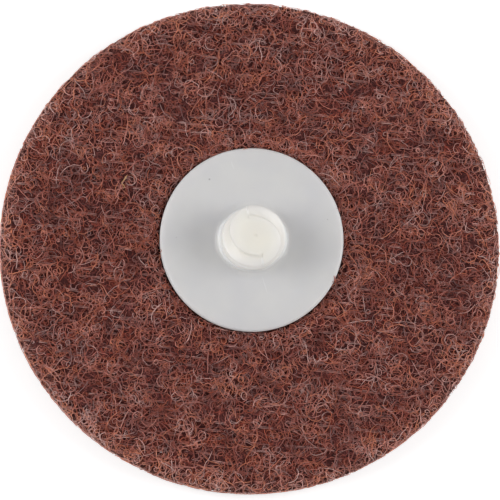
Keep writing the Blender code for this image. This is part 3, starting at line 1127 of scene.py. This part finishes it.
MARKS = (  # place and size in mm, turn in degrees, colour and strength
    ((-6.49, 10.14, 7.0), (0.18, 0.18), 0, BURNT_SPECK, 0.45),
    ((11.53, 4.13, 7.0), (0.13, 0.13), 0, BURNT_SPECK, 0.28),
    ((-11.50, 1.25, 7.0), (0.13, 0.13), 0, BURNT_SPECK, 0.18),
    ((0.05, 1.05, 13.95), (0.36, 0.30), 20, BURNT_SPECK, 0.05),
    # The two long pale marks on the stud's start walls are painted highlights.
    ((1.12, -3.05, 13.7), (1.05, 0.22), -80, PAINTED_EDGE_HIGHLIGHT, 0.60),
    ((-1.12, 4.75, 13.7), (1.05, 0.22), -80, PAINTED_EDGE_HIGHLIGHT, 0.50),
    ((1.93, -5.90, 7.0), (1.75, 0.09), -73, PALE_SCUFF, 0.30),
    ((-2.97, 12.30, 7.0), (0.95, 0.09), -70, PALE_SCUFF, 0.30),
)


def near_place(tree, source, place, size, turn):
    """Mask of a small oval mark: 1 within half its size of the place, 0 past its whole size."""
    own = {
        "Vector": source,
        "Location": [v * MM for v in place],
        "Rotation": (0, 0, math.radians(turn)),
        "Scale": (size[0] * MM, size[1] * MM, MM),
    }
    away = vector(tree, "LENGTH", node(tree, "Mapping", own, vector_type="TEXTURE"))
    return mapped(tree, away, 1.0, 0.5, kind="SMOOTHSTEP")


def natural_nylon_material():
    """Milky nylon: grey where thin, ivory where thick, with painted light at the boss's foot."""
    material, tree, shader = blank("natural_nylon_moulded")
    source = places_on(tree)
    height = node(tree, "SeparateXYZ", {0: source}).outputs["Z"]
    level = mapped(tree, height, FLANGE_TOP + 0.05 * MM, STUD_TOP)
    centred = vector(tree, "SUBTRACT", source, (0, BUTTON_Y, 0))
    far = vector(tree, "LENGTH", vector(tree, "MULTIPLY", centred, (1, 1, 0)))
    at_foot = mapped(tree, far, BOSS_LONG + 0.8 * MM, BOSS_LONG - 0.2 * MM, kind="SMOOTHSTEP")
    # Painted light at the boss's foot: the crease round it is drawn lighter than its shade.
    foot_painted_light = maths(tree, "MULTIPLY", mapped(tree, level, 0.06, 0.0), at_foot)
    # Painted light: the flange's rim drawn a little lighter.
    at_rim = mapped(tree, far, FLANGE_RADIUS - 0.5 * MM, FLANGE_RADIUS - 0.05 * MM, 0.0, 0.1)
    tone = blended(tree, foot_painted_light, shade(tree, level, NYLON_BY_LEVEL), (*FOOT_PAINTED_LIGHT, 1))
    tone = blended(tree, at_rim, tone, (*FLANGE_RIM_LIGHT, 1))
    milk = shade(tree, noise(tree, source, 150.0), [(0.3, COOL_MILK), (0.7, WARM_MILK)])
    tone = blended(tree, 1.0, tone, milk, "MULTIPLY")
    for place, size, turn, mark, strength in MARKS:
        mask = maths(tree, "MULTIPLY", near_place(tree, source, place, size, turn), strength)
        tone = blended(tree, mask, tone, (*mark, 1))
    grain = noise(tree, source, 3200.0)
    inputs = {
        "Base Color": tone,
        "Roughness": 0.36,
        "Specular IOR Level": 0.4,
        "Subsurface Weight": 0.85,
        "Subsurface Radius": (1.0, 0.95, 0.9),
        "Subsurface Scale": 5.0 * MM,
        "Normal": node(tree, "Bump", {"Strength": 0.25, "Distance": 0.01 * MM, "Height": grain}),
    }
    wire(shader, inputs)
    return material


button_poles = ((0, BUTTON_Y, FLANGE_BASE), (0, BUTTON_Y, tip_height(0.0)))
button_mesh = grid_mesh("moulded_button", button_places(), button_poles)
moulded_button = show("moulded_button", button_mesh, natural_nylon_material())
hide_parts("threaded_button")


# The studio: a plain pale floor, a soft lamp on either side and a faint white surround, with the
# camera nearly square over the back, a little to the lower left, as the photograph has it.

FOCAL_PIXELS = 2918.0
PHOTO_PIXELS = 500
CAMERA_DISTANCE = 450 * MM
CAMERA_TILT = math.radians(6.12)
CAMERA_BEARING = math.radians(-133.0)
CAMERA_AIM = Vector((0.20 * MM, -0.05 * MM, 0))
FLOOR_HALF = 3.0
WHITE = (1, 1, 1, 1)
FLOOR_GREY = (0.86, 0.86, 0.86, 1)
NEAR_GLOW = 0.45
GLOW_GROWS = (0.2, 0.7)
LAMP_OUT = 0.55
LAMP_ALONG = 0.04
LAMP_UP = 0.42
LAMP_SIZE = 0.40
LEFT_WATTS = 2.67
RIGHT_WATTS = 2.55
SURROUND = 0.36


def studio_floor():
    """A pale floor that the camera sees as white where nothing shades it, out to the horizon."""
    material, tree, shader = blank("studio_floor")
    rays = node(tree, "LightPath").outputs
    seen = maths(tree, "MAXIMUM", rays["Is Camera Ray"], rays["Is Glossy Ray"])
    whiter = mapped(tree, vector(tree, "LENGTH", places_on(tree)), *GLOW_GROWS, NEAR_GLOW)
    inputs = {
        "Base Color": FLOOR_GREY,
        "Roughness": 0.9,
        "Specular IOR Level": 0.0,
        "Emission Color": WHITE,
        "Emission Strength": maths(tree, "MULTIPLY", seen, whiter),
    }
    wire(shader, inputs)
    corners = [(-1, -1), (1, -1), (1, 1), (-1, 1)]
    mesh = bpy.data.meshes.new("floor")
    mesh.from_pydata([(x * FLOOR_HALF, y * FLOOR_HALF, 0) for x, y in corners], [], [(0, 1, 2, 3)])
    mesh.materials.append(material)
    floor = bpy.data.objects.new("floor", mesh)
    bpy.context.scene.collection.objects.link(floor)


def aimed(thing, place, target=(0, 0, 0)):
    """Puts a lamp or camera at a place, looking at a target, with +Y upward in its view."""
    back = (Vector(place) - Vector(target)).normalized()
    right = Vector((0, 1, 0)).cross(back).normalized()
    turn = Matrix((right, back.cross(right), back)).transposed().to_4x4()
    thing.matrix_world = Matrix.Translation(Vector(place)) @ turn
    bpy.context.scene.collection.objects.link(thing)


def soft_lamp(name, out, watts):
    """A square soft lamp that looks at the disc."""
    lamp = bpy.data.lights.new(name, "AREA")
    lamp.size = LAMP_SIZE
    lamp.energy = watts
    aimed(bpy.data.objects.new(name, lamp), (out, LAMP_ALONG, LAMP_UP))


def white_surround():
    """A white world: faint as light, full white to the camera and in reflections."""
    world = bpy.data.worlds.new("surround")
    world.use_nodes = True
    tree = world.node_tree
    rays = node(tree, "LightPath").outputs
    glassy = maths(tree, "MAXIMUM", rays["Is Glossy Ray"], rays["Is Transmission Ray"])
    seen = maths(tree, "MAXIMUM", rays["Is Camera Ray"], glassy)
    strength = mapped(tree, seen, 0.0, 1.0, SURROUND, 1.0)
    wire(tree.nodes["Background"], {"Color": WHITE, "Strength": strength})
    bpy.context.scene.world = world


studio_floor()
white_surround()
soft_lamp("left_lamp", -LAMP_OUT, LEFT_WATTS)
soft_lamp("right_lamp", LAMP_OUT, RIGHT_WATTS)

view = bpy.data.cameras.new("camera")
view.sensor_width = 36
view.lens = FOCAL_PIXELS / PHOTO_PIXELS * view.sensor_width
view.clip_start = 0.01
tilted = math.sin(CAMERA_TILT) * unit_at(CAMERA_BEARING)
toward_camera = Vector((*tilted, math.cos(CAMERA_TILT)))
camera = bpy.data.objects.new("camera", view)
aimed(camera, CAMERA_AIM + toward_camera * CAMERA_DISTANCE, CAMERA_AIM)
bpy.context.scene.camera = camera
bpy.context.scene.view_settings.view_transform = "Standard"
